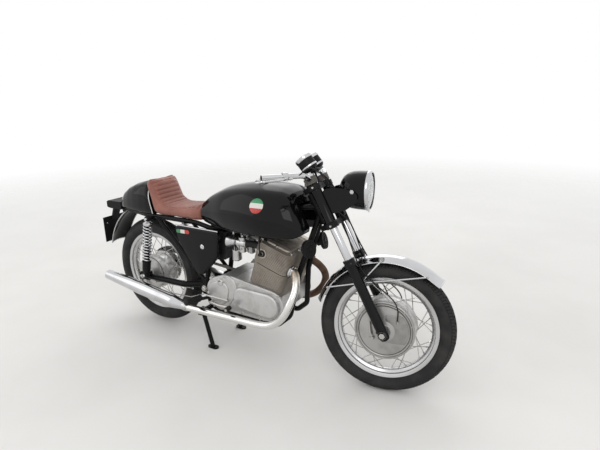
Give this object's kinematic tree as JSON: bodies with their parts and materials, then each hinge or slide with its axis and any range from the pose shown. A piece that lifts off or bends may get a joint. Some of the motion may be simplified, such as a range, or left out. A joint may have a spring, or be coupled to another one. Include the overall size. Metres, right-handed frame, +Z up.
{
  "type": "cafe racer motorcycle",
  "caption": "Cafe racer motorcycle with clip-on bars, hump-backed single seat, twin exhausts and wire wheels, parked on its centre stand with the fork turned left.",
  "frame": {"origin": "on the floor, midway between the front of the front tyre and the back of the plate holder, on the machine's middle plane", "axes": "+X forward, +Y to the rider's left, +Z up"},
  "size_m": [2.1558, 0.6572, 1.1135],
  "materials": {
    "black_paint": "deep gloss",
    "frame_paint": "gloss",
    "chrome": "polished",
    "cast_alloy": "dull cast with polished covers",
    "polished_alloy": "brushed",
    "steel": "bare",
    "leather": "soft waxed",
    "tyre_rubber": "matt",
    "black_rubber": "matt",
    "glass": "clear",
    "black_plastic": "matt",
    "chain_steel": "oiled"
  },
  "bodies": {
    "chassis": {"airbox": "black_plastic", "carburettors": "polished_alloy", "chain": "chain_steel", "chain_guard": "chrome", "crankcase": "cast_alloy", "cylinder_block": "cast_alloy", "cylinder_head": "cast_alloy", "engine_covers": "polished_alloy", "exhaust_pipes": "chrome", "foot_levers": "polished_alloy", "footrests": "black_rubber", "frame": "frame_paint", "fuel_cap": "chrome", "fuel_tank": "black_paint", "horns": "black_plastic", "mufflers": "chrome", "rear_brake_plate": "polished_alloy", "rear_mudguard": "black_paint", "seat_pad": "leather", "shocks": "steel", "side_panels": "black_paint", "springs": "chrome", "swingarm": "frame_paint", "tail_hump": "black_paint", "tail_lamp": "black_plastic"},
    "steering": {"fork_sliders": "frame_paint", "fork_tubes": "chrome", "front_axle": "steel", "front_brake_plates": "polished_alloy", "front_mudguard": "chrome", "handlebars": "frame_paint", "headlamp_ears": "black_paint", "headlamp_lens": "glass", "headlamp_rim": "chrome", "headlamp_shell": "black_paint", "instruments": "black_plastic", "levers": "polished_alloy", "yokes": "frame_paint"},
    "front_wheel": {"front_hub": "polished_alloy", "front_rim": "chrome", "front_spokes": "steel", "front_tyre": "tyre_rubber"},
    "rear_wheel": {"rear_hub": "polished_alloy", "rear_rim": "chrome", "rear_spokes": "steel", "rear_tyre": "tyre_rubber"},
    "stand": {"centre_stand": "frame_paint"}
  },
  "joints": [
    {"name": "steering_turn", "type": "hinge", "parent": "chassis", "child": "steering", "pos_m": [0.71844, 0, 0.28942], "axis": [-0.4695, 0, 0.8829], "range_deg": [-40.5, 15.5]},
    {"name": "front_wheel_spin", "type": "hinge", "parent": "steering", "child": "front_wheel", "pos_m": [0.76585, 0.0119, 0.31463], "axis": [-0.1911, 0.9763, -0.1016], "continuous": true},
    {"name": "rear_wheel_spin", "type": "hinge", "parent": "chassis", "child": "rear_wheel", "pos_m": [-0.693, 0, 0.339], "axis": [0, 1, 0], "continuous": true},
    {"name": "stand_fold", "type": "hinge", "parent": "chassis", "child": "stand", "pos_m": [-0.263, 0, 0.205], "axis": [0, 1, 0], "range_deg": [0, 78]}
  ]
}
